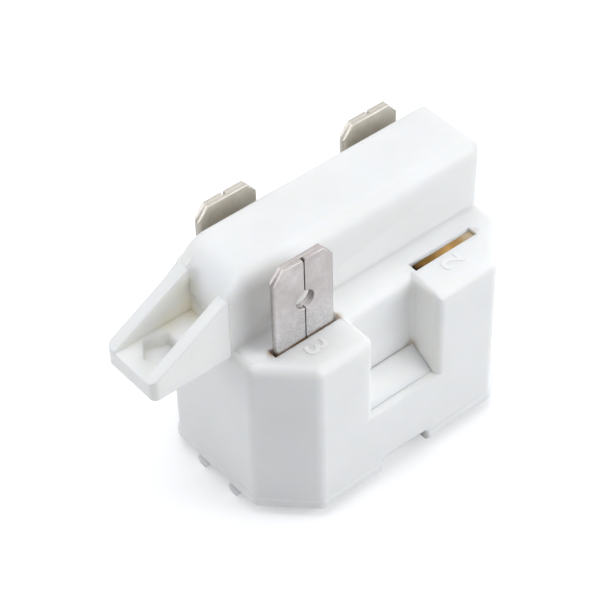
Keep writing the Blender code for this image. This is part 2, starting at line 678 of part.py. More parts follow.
def make_slot_contact():
    """The bare brass plate that stands under the open slot."""
    y_front = RUN_STRIP_Y - SEAT_GAP - SLOT_CONTACT_THICKNESS
    x_left = SLOT_CONTACT_X
    x_right = x_left + BLADE_WIDTH
    top = DECK - SLOT_CONTACT_BELOW_DECK
    shoulder = DECK - DECK_THICKNESS - BLADE_UNDER_DECK
    shank_right = 2 * SLOT_RIVET_X - x_left
    outline = [(x_left, STRIP_BOTTOM), (shank_right, STRIP_BOTTOM), (shank_right, shoulder),
               (x_right, shoulder), (x_right, top), (x_left, top)]
    plate = mesh_object("slot_contact",
                        prism(outline, "Y", y_front, y_front + SLOT_CONTACT_THICKNESS),
                        PARTS, BRASS)
    cut(plate, "slot_contact_hole", rivet_hole(SLOT_RIVET_X, y_front, SLOT_CONTACT_THICKNESS))
    applied(plate)
    return plate


def make_rivet(name, x, y_front, y_back):
    """A rivet along Y with a low dome on each end, turned about its axis."""
    half = (y_back - y_front) / 2 + SEAT_GAP
    dome_steps = 3
    dome = [(RIVET_HEAD_RADIUS * math.sin(step / dome_steps * math.pi / 2),
             half + RIVET_HEAD_HEIGHT * math.cos(step / dome_steps * math.pi / 2))
            for step in range(dome_steps + 1)]
    upper = dome + [(RIVET_RADIUS, half)]
    profile = upper + [(radius, -height) for radius, height in reversed(upper)]
    mesh = bpy.data.meshes.new(name)
    points = [(radius, 0.0, height) for radius, height in profile]
    mesh.from_pydata(points, [(i, i + 1) for i in range(len(points) - 1)], [])
    rivet = bpy.data.objects.new(name, mesh)
    PARTS.objects.link(rivet)
    mesh.materials.append(BRASS)
    turn = rivet.modifiers.new("turn", "SCREW")
    turn.steps = 16
    turn.render_steps = 16
    turn.use_merge_vertices = True
    turn.merge_threshold = 0.001 * MM
    applied(rivet)
    smooth(rivet)
    rivet.location = (x, (y_front + y_back) / 2, RIVET_Z)
    rivet.rotation_euler = (math.pi / 2, 0, 0)
    return rivet


def split_ring(centre, inner, outer, split, opening_angle, z_range, steps=28):
    """A rolled sheet ring that is open on one side."""
    half_split = math.asin(split / 2 / inner)
    start = opening_angle + half_split
    sweep = 2 * math.pi - 2 * half_split
    turns = [start + sweep * step / steps for step in range(steps + 1)]
    outline = [(centre.x + outer * math.cos(turn), centre.y + outer * math.sin(turn))
               for turn in turns]
    outline += [(centre.x + inner * math.cos(turn), centre.y + inner * math.sin(turn))
                for turn in reversed(turns)]
    return prism(outline, "Z", *z_range)


def make_socket(name, centre, tang_y, opening_angle):
    """A rolled pin socket with a flat tang that is riveted to its strip."""
    top = SOCKET_BOTTOM + SOCKET_HEIGHT
    sleeve = split_ring(centre, PIN_BORE_RADIUS, SOCKET_RADIUS, SOCKET_SPLIT, opening_angle,
                        (SOCKET_BOTTOM, top))
    socket = mesh_object(name, sleeve, PARTS, BRASS)
    tang_x = (centre.x - TANG_WIDTH / 2, centre.x + TANG_WIDTH / 2)
    narrow = math.sqrt(SOCKET_RADIUS ** 2 - TANG_TO_AXIS ** 2)
    neck_x = (centre.x - narrow, centre.x + narrow)
    outline = [(neck_x[0], top - TANG_OVERLAP), (neck_x[1], top - TANG_OVERLAP),
               (neck_x[1], top + SEAT_GAP), (tang_x[1], STRIP_BOTTOM),
               (tang_x[1], STRIP_TOP - STRIP_WAIST), (tang_x[0], STRIP_TOP - STRIP_WAIST),
               (tang_x[0], STRIP_BOTTOM), (neck_x[0], top + SEAT_GAP)]
    join(socket, f"{name}_tang", prism(outline, "Y", tang_y, tang_y + STRIP_THICKNESS))
    cut(socket, f"{name}_tang_hole", rivet_hole(centre.x, tang_y, STRIP_THICKNESS))
    applied(socket)
    smooth(socket)
    return socket


def make_clip(name, centre, opening_angle):
    """The steel clip that keeps a socket tight on its pin."""
    inner = SOCKET_RADIUS + SEAT_GAP
    bottom = BASE_TOP + COLLAR_HEIGHT + SEAT_GAP
    ring = split_ring(centre, inner, inner + CLIP_THICKNESS, CLIP_SPLIT, opening_angle,
                      (bottom, bottom + CLIP_HEIGHT))
    clip = mesh_object(name, ring, PARTS, SPRING_STEEL)
    smooth(clip)
    return clip


def make_disc():
    """The switching disc, standing on edge in the ridge."""
    start = Vector((DISC_X, DISC_Y - DISC_THICKNESS / 2, DISC_Z))
    disc = mesh_object("ptc_disc", rod(start, DISC_RADIUS, DISC_THICKNESS, "Y", sides=64),
                       PARTS, CERAMIC)
    bevel(disc, DISC_EDGE, segments=2)
    applied(disc)
    smooth(disc)
    return disc


def make_contact_spring(name, foot_y, pad_y):
    """A folded leaf with two feet on the strip and a pad against the disc."""
    knee = SPRING_HALF - 2 * SPRING_HALF * SPRING_FOOT_SHARE
    pad = SPRING_HALF * SPRING_PAD_SHARE
    path = [(-SPRING_HALF, foot_y), (-knee, foot_y), (-pad, pad_y),
            (pad, pad_y), (knee, foot_y), (SPRING_HALF, foot_y)]
    shape = bmesh.new()
    low = DISC_Z - SPRING_HEIGHT / 2
    rows = []
    for height in (low, low + SPRING_HEIGHT):
        rows.append([shape.verts.new((DISC_X + x, y, height)) for x, y in path])
    for index in range(len(path) - 1):
        shape.faces.new((rows[0][index], rows[0][index + 1],
                         rows[1][index + 1], rows[1][index]))
    spring = mesh_object(name, shape, PARTS, SPRING_STEEL)
    rounding = bevel(spring, 3 * SPRING_THICKNESS, segments=3)
    rounding.angle_limit = math.radians(15)
    sheet = spring.modifiers.new("sheet", "SOLIDIFY")
    sheet.thickness = SPRING_THICKNESS
    sheet.offset = 0.0
    sheet.use_even_offset = True
    applied(spring)
    smooth(spring)
    return spring


def make_terminals():
    """The four contacts that the slots hold."""
    make_blade("front_left_tab", FRONT_BLADE_X, FRONT_BLADE_Y, RIM + FRONT_BLADE_LEVEL, True, True)
    make_blade("rear_left_tab", REAR_LEFT_BLADE_X, REAR_BLADE_Y, RIM + REAR_BLADE_LEVEL,
               False, True)
    make_blade("rear_right_tab", REAR_RIGHT_BLADE_X, REAR_BLADE_Y, RIM + REAR_BLADE_LEVEL,
               False, False)
    make_slot_contact()


def make_strips():
    """The run strip and the start strip."""
    run_x = (FRONT_BLADE_X, RUN_SOCKET.x + TANG_WIDTH / 2)
    make_strip("run_strip", run_x, RUN_STRIP_Y, (FRONT_RIVET_X, SLOT_RIVET_X, RUN_SOCKET.x))
    start_x = (REAR_LEFT_BLADE_X, REAR_RIGHT_BLADE_X + BLADE_WIDTH)
    make_strip("start_strip", start_x, START_STRIP_Y,
               (REAR_LEFT_RIVET_X, START_SOCKET.x, REAR_RIGHT_RIVET_X))


def make_sockets():
    """The two pin sockets with their clips."""
    away_front, away_rear = -math.pi / 2, math.pi / 2
    make_socket("run_pin_socket", RUN_SOCKET, RUN_TANG_Y, away_front)
    make_socket("start_pin_socket", START_SOCKET, START_TANG_Y, away_rear)
    make_clip("run_socket_clip", RUN_SOCKET, away_front)
    make_clip("start_socket_clip", START_SOCKET, away_rear)


def make_rivets():
    """The rivets that hold blades, tangs and strips together."""
    run_back = RUN_STRIP_Y + STRIP_THICKNESS
    rear_back = REAR_BLADE_Y + BLADE_THICKNESS
    slot_front = RUN_STRIP_Y - SEAT_GAP - SLOT_CONTACT_THICKNESS
    make_rivet("front_tab_rivet", FRONT_RIVET_X, FRONT_BLADE_Y, run_back)
    make_rivet("slot_contact_rivet", SLOT_RIVET_X, slot_front, run_back)
    make_rivet("run_socket_rivet", RUN_SOCKET.x, RUN_STRIP_Y, RUN_TANG_Y + STRIP_THICKNESS)
    make_rivet("rear_left_tab_rivet", REAR_LEFT_RIVET_X, START_STRIP_Y, rear_back)
    make_rivet("rear_right_tab_rivet", REAR_RIGHT_RIVET_X, START_STRIP_Y, rear_back)
    make_rivet("start_socket_rivet", START_SOCKET.x, START_TANG_Y,
               START_STRIP_Y + STRIP_THICKNESS)


def make_springs():
    """The two springs that press on the disc."""
    half = SPRING_THICKNESS / 2
    run_foot = RUN_STRIP_Y + STRIP_THICKNESS + SEAT_GAP + half
    run_pad = DISC_Y - DISC_THICKNESS / 2 - SEAT_GAP - half
    start_foot = START_STRIP_Y - SEAT_GAP - half
    start_pad = DISC_Y + DISC_THICKNESS / 2 + SEAT_GAP + half
    make_contact_spring("run_contact_spring", run_foot, run_pad)
    make_contact_spring("start_contact_spring", start_foot, start_pad)


clear_scene()
PARTS = collection("compressor_start_relay")
TOOLS = collection("construction")
WHITE_PLASTIC = material("white_moulding", (0.84, 0.85, 0.86), 0.42, 0.0)
BASE_PLASTIC = material("base_moulding", (0.80, 0.81, 0.82), 0.45, 0.0)
PLATED_BRASS = material("plated_brass", (0.62, 0.60, 0.57), 0.32, 1.0)
BRASS = material("bare_brass", (0.62, 0.44, 0.16), 0.35, 1.0)
SPRING_STEEL = material("spring_steel", (0.50, 0.50, 0.50), 0.30, 1.0)
CERAMIC = material("dark_ceramic", (0.20, 0.20, 0.21), 0.60, 0.0)

make_housing()
make_base()
make_disc()
make_terminals()
make_strips()
make_sockets()
make_rivets()
make_springs()
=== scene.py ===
"""The compressor start relay as it looks: a white moulded housing with folded, tinned blades."""

import json
import math

import bmesh
import bpy
import numpy as np
from mathutils import Matrix, Vector
from mathutils.geometry import tessellate_polygon


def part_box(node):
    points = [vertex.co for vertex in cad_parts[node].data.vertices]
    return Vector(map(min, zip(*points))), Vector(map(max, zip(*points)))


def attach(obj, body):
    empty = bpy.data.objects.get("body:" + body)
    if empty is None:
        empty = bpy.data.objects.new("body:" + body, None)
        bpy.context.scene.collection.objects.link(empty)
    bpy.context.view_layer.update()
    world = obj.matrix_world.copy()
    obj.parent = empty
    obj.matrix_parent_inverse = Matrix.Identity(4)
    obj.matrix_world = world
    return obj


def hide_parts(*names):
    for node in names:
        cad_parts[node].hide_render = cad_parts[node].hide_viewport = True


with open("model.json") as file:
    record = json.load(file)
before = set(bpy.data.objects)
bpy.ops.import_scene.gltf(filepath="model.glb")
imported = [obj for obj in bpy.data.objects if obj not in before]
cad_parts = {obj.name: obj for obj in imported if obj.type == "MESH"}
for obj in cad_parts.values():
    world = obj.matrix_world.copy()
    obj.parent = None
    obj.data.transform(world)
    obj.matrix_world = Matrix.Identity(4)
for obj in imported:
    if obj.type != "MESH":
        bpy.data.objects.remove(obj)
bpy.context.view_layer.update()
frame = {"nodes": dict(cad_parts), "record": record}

MM = 0.001

# Main sizes of the housing, as in the part's source, and its corner, read from the solid. In the
# lists below, places along X count from LEFT, places along Y from FRONT and heights from RIM.
EAR_LENGTH = 7.92 * MM
BODY_WIDTH = 19.5 * MM
DECK_ABOVE_RIM = 17.35 * MM
HOUSING_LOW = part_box("housing")[0]
LEFT = HOUSING_LOW.x + EAR_LENGTH
FRONT = -BODY_WIDTH / 2
RIM = HOUSING_LOW.z
DECK = RIM + DECK_ABOVE_RIM
ORIGIN = Vector((LEFT, FRONT, RIM))

# Meshes: triangles are joined where their corners are this near; points this near to a piece's
# outermost one lie on the same face; tools reach this far past a face or stop short of it, so
# that no two faces share a plane; two sides are in line below this sine of the angle between them
WELD = 0.0002 * MM
SAME_FACE = 0.1 * MM
OVERLAP = 0.02 * MM
IN_LINE = 1e-5
# Angles in degrees up to which neighbouring faces are shaded as one
MOULDING_SHARP = 32
BLADE_SHARP = 40

# Camera: its place from the housing's front left bottom corner, its direction, its roll and its
# focal length in pixels, all fitted to edges of known length
CAMERA_PLACE = Vector((-66.55, -85.99, 135.74)) * MM
CAMERA_FORWARD = Vector((0.44603, 0.55345, -0.70339))
CAMERA_ROLL = math.radians(-1.726)
CAMERA_FOCAL = 1983.25
PHOTO_SIDE = 608
SENSOR = 36.0
CAMERA_NEAR = 0.01

# Light: the surround's share of white, the floor's glow in view, and the lamps with their places
# and sides in metres and their watts
AMBIENT = 0.28
FLOOR_GLOW = 0.38
FLOOR_REACH = 2.0
DAYLIGHT = "#f6f9ff"
AIM = Vector((0, 0, 0.01))
SOFTBOXES = [("top_softbox", (0.05, 0.1, 0.6), 0.5, 1.95),
             ("right_softbox", (0.45, -0.3, 0.25), 0.4, 1.15),
             ("front_softbox", (0.3, -0.5, 0.3), 0.4, 1.15),
             ("left_softbox", (-0.4, 0.35, 0.25), 0.4, 1.05)]

# Blades: sheet of half the blade's thickness, folded over from both sides to a seam
SHEET = 0.4 * MM
FOLD_RADIUS = 0.36 * MM
SHEAR_RADIUS = 0.07 * MM
INNER_RADIUS = 0.05 * MM
SEAM = 0.1 * MM
SEAM_CORNER = Vector((0.16, 0.3)) * MM
CORNER = Vector((1.1, 1.35)) * MM
HOLE_RADIUS = 0.95 * MM
HOLE_BELOW_TOP = 4.5 * MM
HOLE_STEPS = 48
SHANK_WIDTH = 2.6 * MM
SHOULDER_BELOW_DECK = 2.8 * MM
RIVET_HOLE_RADIUS = 0.7 * MM
# An outline's side is a fold where both its ends are this near to the blade's side
ON_EDGE = 0.001 * MM
# Depths at which a blade's outline is worked out, as shares of its outer and inner radii
OUTER_STEPS = np.array([0, 0.02, 0.07, 0.15, 0.25, 0.4, 0.6, 0.8, 1.0])
INNER_STEPS = np.array([0.4, 0.15, 0.0])

# Ridge: its left end is rounded over to the top round a centre in X and Z, and this end's rear
# edge is rounded in its turn, by a radius that falls to a share of itself at the top
RIDGE_END = Vector((3.23, 21.0)) * MM
RIDGE_END_RADIUS = 3.23 * MM
RIDGE_REAR = 14.05 * MM
REAR_EDGE = 1.1 * MM
REAR_EDGE_AT_TOP = 0.2
END_STEPS = 19
REAR_EDGE_STEPS = 7

# Ear: its upright corners are rounded, and a thin web closes the foot of its five-sided hole
EAR_BOTTOM = 17.25 * MM
EAR_FRONT = 6.455 * MM
EAR_REAR = 12.905 * MM
EAR_CORNER = 0.7 * MM
EAR_TRIM_ABOVE_DECK = 6.0 * MM
HOLE_FROM_LEFT = 4.6 * MM
HOLE_MIDDLE = 9.68 * MM
HOLE_CORNER = 1.88 * MM
HOLE_SIDES = 5
WEB = 0.35 * MM
WEB_LIFT = 0.1

# Rear gusset: its crest's height at the ridge and its slope, the places along X between which it
# swings out into the ridge, the height of the swung edge, and how deep the blend sits in the wall
GUSSET_LEVEL = 23.6 * MM
GUSSET_SLOPE = 0.587
BLEND_START = -1.2 * MM
BLEND_END = 1.28 * MM
BLEND_EDGE = 22.2 * MM
BLEND_DEPTH = 0.4 * MM
BLEND_STEPS = 13

# Points on the rounding of an upright corner, on the ear and the notches
CORNER_STEPS = 9

# Notches; the snap arms which fill them but for a fine gap, with how far their sides, backs, barbs
# and lips are moved; and the depths from the housing's faces and the height that tell these apart
NOTCH_START = 10.175 * MM
NOTCH_END = 17.625 * MM
NOTCH_EDGE = 0.75 * MM
NOTCH_TRIM_ABOVE_DECK = 1.0 * MM
SILL = 7.75 * MM
ARM_SIDE = 0.28 * MM
ARM_BACK = 0.2 * MM
BACK_DEPTH = 2.0 * MM
BARB_RISE = 0.25 * MM
LIP_LEVEL = 8.3 * MM
LIP_DEPTH = 1.6 * MM
LIP_DROP = 0.23 * MM

# Contact plate: how much nearer it stands to the slot's front wall and right end than the solid
# does, and the rounding of its edges
CONTACT_FORWARD = 0.22 * MM
CONTACT_RIGHT = 0.5 * MM
CONTACT_EDGE = 0.06 * MM
CONTACT_EDGE_STEPS = 2

# Numerals moulded on the deck: their size, how far their strokes are widened, and each one's
# place along X and Y and turn in degrees
NUMERAL_SIZE = 2.9 * MM
NUMERAL_HEIGHT = 0.05 * MM
NUMERAL_EDGE = 0.045 * MM
NUMERAL_EDGE_STEPS = 3
NUMERAL_STROKE = 0.06 * MM
NUMERALS = [("deck_numeral_left", "3", 5.95 * MM, 2.6 * MM, -90),
            ("deck_numeral_right", "2", 21.6 * MM, 2.75 * MM, 90)]

# Patterns: about how far apart their features lie, in mm
CLOUDS = 6.0
PELLETS = 3.6
SHEEN = 1.5
MOULD_GRAIN = 0.2
STAIN_AND_SHADE_EDGE = 0.7
TIN_PATCHES = 1.6
RUBS = 0.2
SCUFFS = 0.12
TARNISH = 1.2
ROLLER_STREAKS = 0.3
CERAMIC_GRAIN = 0.25
CARD_FIBRE = 1.0

# How high above the deck the tin is rubbed, and how high it is browned
RUBBED_UP_TO = 5.0 * MM
BROWNED_UP_TO = 0.32 * MM

# Stains and painted shade on the housing: place in mm from its corner, radius in mm, share and
# colour. Brown marks at the ends of the slots; painted warm shade, pale ochre, in the ear's inner
# corner; painted shade, brown, in the front notch by its right side and grey on the floor of the
# ear's hole
STAINS_AND_SHADE = [((2.75, 4.45, 17.25), 0.7, 0.8, "#a9772f"), ((9.65, 4.15, 17.1), 0.75, 0.8, "#b98a45"),
          ((25.6, 4.3, 16.9), 0.9, 0.6, "#b99e78"), ((0.0, 11.6, 19.6), 2.0, 0.5, "#f3e9c8"),
          ((-0.3, 11.6, 21.4), 2.0, 0.35, "#f2ebd0"), ((-2.5, 11.7, 19.2), 1.8, 0.35, "#f2ebd0"),
          ((17.5, 3.3, 9.4), 1.2, 0.5, "#b3925f"), ((-3.32, 9.68, 17.3), 1.8, 0.55, "#c6c2ca")]

# Sockets of the colour Mix node, which has several of one name
MIX_A, MIX_B, MIX_RESULT = 6, 7, 2


def linear(code):
    """An sRGB hex colour as linear red, green, blue and alpha."""
    parts = [int(code[i:i + 2], 16) / 255 for i in (1, 3, 5)]
    return [*(c / 12.92 if c <= 0.04045 else ((c + 0.055) / 1.055) ** 2.4 for c in parts), 1.0]


def add(tree, kind, links=None, stops=None, **settings):
    """A node in a tree with its settings, its colour stops, and its inputs set or linked."""
    made = tree.nodes.new("ShaderNode" + kind)
    for name, value in settings.items():
        setattr(made, name, value)
    if stops:
        elements = made.color_ramp.elements
        while len(elements) < len(stops):
            elements.new(1.0)
        for element, (place, colour) in zip(elements, stops):
            element.position = place
            element.color = linear(colour)
    for name, value in (links or {}).items():
        socket = made.inputs[name]
        if isinstance(value, bpy.types.NodeSocket):
            tree.links.new(value, socket)
        else:
            socket.default_value = value
    return made


def finish(name, metallic, numbers=None):
    """A material, its Principled shader with the plain numbers set, and its Object coordinates."""
    made = bpy.data.materials.new(name)
    made.use_nodes = True
    tree = made.node_tree
    shader = tree.nodes["Principled BSDF"]
    shader.inputs["Metallic"].default_value = metallic
    for socket, value in (numbers or {}).items():
        shader.inputs[socket].default_value = value
    return made, tree, shader, add(tree, "TexCoord").outputs["Object"]


def per(size_mm):
    """The scale at which a pattern repeats about once in a length, on coordinates in metres."""
    return 1 / (size_mm * MM)


def stained_and_shaded(tree, place, colour, stains_and_shade):
    """A colour with soft stains and painted shade, each ragged by a noise whose mean is a half."""
    ragged = add(tree, "TexNoise", {"Vector": place, "Scale": per(STAIN_AND_SHADE_EDGE), "Detail": 4.0})
    for centre, radius, share, tone in stains_and_shade:
        away = add(tree, "VectorMath", {0: place, 1: ORIGIN + Vector(centre) * MM},
                   operation="DISTANCE")
        near = add(tree, "MapRange",
                   {"Value": away.outputs["Value"], "From Max": radius * MM,
                    "To Min": 2 * share, "To Max": 0.0}, interpolation_type="SMOOTHSTEP")
        uneven = add(tree, "Math", {0: near.outputs["Result"], 1: ragged.outputs["Fac"]},
                     operation="MULTIPLY")
        mixed = add(tree, "Mix", {0: uneven.outputs[0], MIX_A: colour, MIX_B: linear(tone)},
                    data_type="RGBA")
        colour = mixed.outputs[MIX_RESULT]
    return colour


def moulding(name, light, warm, edge, scatter=0.45, stains_and_shade=()):
    """PBT, injection moulded and spark-eroded in its mould: a satin white with an uneven sheen.

    Light scatters in it by a share, and its edges are shaded as rounded by a radius in mm.
    """
    made, tree, shader, place = finish(name, 0.0, {"IOR": 1.5, "Subsurface Weight": scatter,
                                                   "Subsurface Scale": 1.5 * MM,
                                                   "Subsurface Radius": (1.0, 0.9, 0.7)})
    cloud = add(tree, "TexNoise", {"Vector": place, "Scale": per(CLOUDS), "Detail": 3.0})
    tone = add(tree, "ValToRGB", {"Fac": cloud.outputs["Fac"]}, [(0.3, warm), (0.7, light)])
    # Specks of darker pellet, about 0.15 mm across and several millimetres apart
    cells = add(tree, "TexVoronoi", {"Vector": place, "Scale": per(PELLETS)})
    speck = add(tree, "MapRange", {"Value": cells.outputs["Distance"], "From Min": 0.012,
                                   "From Max": 0.03, "To Min": 0.4, "To Max": 0.0})
    speckled = add(tree, "Mix", {0: speck.outputs["Result"], MIX_A: tone.outputs["Color"],
                                 MIX_B: linear("#a9a69c")}, data_type="RGBA")
    # Stains, and patches of painted shade in the ear's corner, the front notch and the ear's hole
    colour = stained_and_shaded(tree, place, speckled.outputs[MIX_RESULT], stains_and_shade)
    tree.links.new(colour, shader.inputs["Base Color"])
    sheen = add(tree, "TexNoise", {"Vector": place, "Scale": per(SHEEN), "Detail": 4.0})
    rough = add(tree, "MapRange",
                {"Value": sheen.outputs["Fac"], "To Min": 0.38, "To Max": 0.52})
    tree.links.new(rough.outputs["Result"], shader.inputs["Roughness"])
    soft = add(tree, "Bevel", {"Radius": edge * MM}, samples=6)
    # The spark-eroded grain is finer than this, and is drawn as coarse as the view shows
    grain = add(tree, "TexNoise", {"Vector": place, "Scale": per(MOULD_GRAIN), "Detail": 2.0})
    bump = add(tree, "Bump", {"Strength": 0.08, "Distance": 0.02 * MM,
                              "Height": grain.outputs["Fac"], "Normal": soft.outputs["Normal"]})
    tree.links.new(bump.outputs["Normal"], shader.inputs["Normal"])
    return made


def tinned(name, stops):
    """Brass sheet, tin plated and stamped: silver grey and dull in patches.

    It is rubbed bright near the deck and brown in a thin band where it enters the slot.
    """
    made, tree, shader, place = finish(name, 1.0)
    patches = add(tree, "TexNoise", {"Vector": place, "Scale": per(TIN_PATCHES), "Detail": 6.0,
                                     "Roughness": 0.65})
    tone = add(tree, "ValToRGB", {"Fac": patches.outputs["Fac"]}, stops)
    height = add(tree, "SeparateXYZ", {"Vector": place}).outputs["Z"]
    # Small bright rubs, which grow thinner from the deck up to the hole
    rubs = add(tree, "TexNoise",
               {"Vector": place, "Scale": per(RUBS), "Detail": 4.0, "Roughness": 0.65})
    rubbed = add(tree, "MapRange", {"Value": rubs.outputs["Fac"], "From Min": 0.42,
                                    "From Max": 0.6, "To Min": 0.35, "To Max": 1.0})
    low = add(tree, "MapRange", {"Value": height, "From Min": DECK,
                                 "From Max": DECK + RUBBED_UP_TO, "To Min": 0.9, "To Max": 0.0})
    rub_share = add(tree, "Math", {0: rubbed.outputs["Result"], 1: low.outputs["Result"]},
                    operation="MULTIPLY")
    worn = add(tree, "Mix", {0: rub_share.outputs[0], MIX_A: tone.outputs["Color"],
                             MIX_B: linear("#e2e4e6")}, data_type="RGBA")
    foot = add(tree, "MapRange",
               {"Value": height, "From Min": DECK, "From Max": DECK + BROWNED_UP_TO,
                "To Min": 1.6, "To Max": 0.0}, interpolation_type="SMOOTHSTEP")
    brown = add(tree, "Math", {0: foot.outputs["Result"], 1: patches.outputs["Fac"]},
                operation="MULTIPLY")
    browned = add(tree, "Mix", {0: brown.outputs[0], MIX_A: worn.outputs[MIX_RESULT],
                                MIX_B: linear("#7d5c2c")}, data_type="RGBA")
    # Painted shade: faces along X or Z, the sheared edges, folds and hole walls, are painted
    # darker for the dark surroundings that they reflect
    facing = add(tree, "SeparateXYZ", {"Vector": add(tree, "NewGeometry").outputs["Normal"]})
    broad = add(tree, "Math", {0: facing.outputs["Y"]}, operation="ABSOLUTE")
    painted_edge_shade = add(tree, "MapRange", {"Value": broad.outputs[0], "From Min": 0.3, "From Max": 0.9,
                                    "To Min": 0.4, "To Max": 0.0})
    edges_painted_darker = add(tree, "Mix", {0: painted_edge_shade.outputs["Result"], MIX_A: browned.outputs[MIX_RESULT],
                              MIX_B: linear("#7f7975")}, data_type="RGBA")
    tree.links.new(edges_painted_darker.outputs[MIX_RESULT], shader.inputs["Base Color"])
    # Fine upright scuffs, several times as long as wide
    stretched = add(tree, "Mapping", {"Vector": place, "Scale": (1.0, 1.0, 0.12)})
    scuffs = add(tree, "TexNoise",
                 {"Vector": stretched.outputs["Vector"], "Scale": per(SCUFFS), "Detail": 3.0})
    rough = add(tree, "MapRange", {"Value": scuffs.outputs["Fac"], "From Min": 0.3,
                                   "From Max": 0.7, "To Min": 0.38, "To Max": 0.55})
    tree.links.new(rough.outputs["Result"], shader.inputs["Roughness"])
    bump = add(tree, "Bump",
               {"Strength": 0.25, "Distance": 0.01 * MM, "Height": scuffs.outputs["Fac"]})
    tree.links.new(bump.outputs["Normal"], shader.inputs["Normal"])
    return made


def tarnished():
    """Bare brass plate that the air has browned towards one end."""
    made, tree, shader, place = finish("tarnished_brass_plate", 1.0, {"Roughness": 0.4})
    low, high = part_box("slot_contact")
    along = add(tree, "SeparateXYZ", {"Vector": place}).outputs["X"]
    share = add(tree, "MapRange", {"Value": along, "From Min": low.x, "From Max": high.x})
    cloud = add(tree, "TexNoise", {"Vector": place, "Scale": per(TARNISH), "Detail": 5.0})
    uneven = add(tree, "MapRange",
                 {"Value": cloud.outputs["Fac"], "To Min": -0.2, "To Max": 0.2})
    moved = add(tree, "Math", {0: share.outputs["Result"], 1: uneven.outputs["Result"]},
                operation="ADD")
    tone = add(tree, "ValToRGB", {"Fac": moved.outputs[0]},
               [(0.0, "#3d2b18"), (0.25, "#7d5e30"), (0.6, "#b8925a"), (0.8, "#a07d4a"),
                (0.95, "#b7a488")])
    tree.links.new(tone.outputs["Color"], shader.inputs["Base Color"])
    return made


def rolled(name, dark, middle, light, roughness):
    """Cold rolled sheet: a warm or grey metal with a faint grain along X from the rollers."""
    made, tree, shader, place = finish(name, 1.0)
    stretched = add(tree, "Mapping", {"Vector": place, "Scale": (0.1, 1.0, 1.0)})
    streaks = add(tree, "TexNoise", {"Vector": stretched.outputs["Vector"],
                                     "Scale": per(ROLLER_STREAKS), "Detail": 4.0})
    tone = add(tree, "ValToRGB", {"Fac": streaks.outputs["Fac"]},
               [(0.3, dark), (0.5, middle), (0.7, light)])
    tree.links.new(tone.outputs["Color"], shader.inputs["Base Color"])
    rough = add(tree, "MapRange", {"Value": streaks.outputs["Fac"], "To Min": roughness - 0.08,
                                   "To Max": roughness + 0.08})
    tree.links.new(rough.outputs["Result"], shader.inputs["Roughness"])
    return made


def ceramic():
    """Barium titanate ceramic, pressed and fired: dark grey and matt, with a fine even grain."""
    made, tree, shader, place = finish("fired_titanate_ceramic", 0.0, {"Roughness": 0.7})
    grain = add(tree, "TexNoise",
                {"Vector": place, "Scale": per(CERAMIC_GRAIN), "Detail": 5.0})
    tone = add(tree, "ValToRGB", {"Fac": grain.outputs["Fac"]},
               [(0.3, "#4a4a4c"), (0.7, "#66666a")])
    tree.links.new(tone.outputs["Color"], shader.inputs["Base Color"])
    return made


# The housing's white carries the stains and the patches of painted shade listed above
WHITE = moulding("white_moulded_pbt", "#f6f5f1", "#f1f0eb", 0.2, stains_and_shade=STAINS_AND_SHADE)
# A thin figure has no depth of its own for light to scatter in
RELIEF = moulding("numeral_moulded_pbt", "#f6f5f1", "#f1f0eb", 0.02, scatter=0.0)
BASE = moulding("base_moulded_pbt", "#f5f4f0", "#f0efea", 0.15)
TINNED = tinned("tinned_brass_sheet", [(0.3, "#b3acaa"), (0.55, "#c1bbb9"), (0.75, "#cecac8")])
# Painted reflection: the rear blades are painted lighter and olive, for the light that their faces
# mirror from the ridge's rear wall
REAR_TIN_PAINTED_LIGHTER = tinned("rear_tinned_brass_painted_lighter",
                   [(0.3, "#c8c3b8"), (0.55, "#d3cec4"), (0.75, "#ded9d0")])
BRASS = rolled("rolled_brass", "#a5762f", "#c2954a", "#d9b066", 0.32)
STEEL = rolled("rolled_spring_steel", "#8f9194", "#a5a7aa", "#bcbec1", 0.3)
CERAMIC = ceramic()
CONTACT = tarnished()
FINISHES = {"white_moulding": WHITE, "base_moulding": BASE, "plated_brass": TINNED,
            "bare_brass": BRASS, "spring_steel": STEEL, "dark_ceramic": CERAMIC}


def piece(name, mesh, finish_slot, material, *nodes):
    """A finished piece that rides on the one body and stands for CAD nodes."""
    made = bpy.data.objects.new(name, mesh)
    bpy.context.scene.collection.objects.link(made)
    mesh.materials.clear()
    mesh.materials.append(material)
    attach(made, "root")
    if nodes:
        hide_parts(*nodes)
    return made


def welded(node, name, finish_slot, material):
    """A copy of a CAD node with its loose triangles joined."""
    shape = bmesh.new()
    shape.from_mesh(frame["nodes"][node].data)
    bmesh.ops.remove_doubles(shape, verts=shape.verts, dist=WELD)
    mesh = bpy.data.meshes.new(name)
    shape.to_mesh(mesh)
    shape.free()
    return piece(name, mesh, finish_slot, material, node)


def shaded(made, sharp):
    """Shade round places as round, up to an angle between faces in degrees."""
    made.data.shade_smooth()
    made.data.set_sharp_from_angle(angle=math.radians(sharp))
    # Large flat faces keep their own direction, and the roundings blend between them
    even = made.modifiers.new("even_shading", "WEIGHTED_NORMAL")
    even.mode = "FACE_AREA"
    even.keep_sharp = True


def combined(made, operation, tool):
    """Cut a shape out of a piece, or join it to the piece, and drop the shape."""
    step = made.modifiers.new(tool.name, "BOOLEAN")
    step.operation = operation
    step.solver = "EXACT"
    step.object = tool
    bpy.context.view_layer.update()
    result = made.evaluated_get(bpy.context.evaluated_depsgraph_get())
    mesh = bpy.data.meshes.new_from_object(result)
    made.modifiers.clear()
    made.data = mesh
    bpy.data.objects.remove(tool)


def places_of(mesh):
    """The places of a mesh's points, a row for each."""
    place = np.empty(len(mesh.vertices) * 3)
    mesh.vertices.foreach_get("co", place)
    return place.reshape(-1, 3)


def put_places(mesh, place):
    """Move a mesh's points to new places."""
    mesh.vertices.foreach_set("co", place.ravel())
    mesh.update()


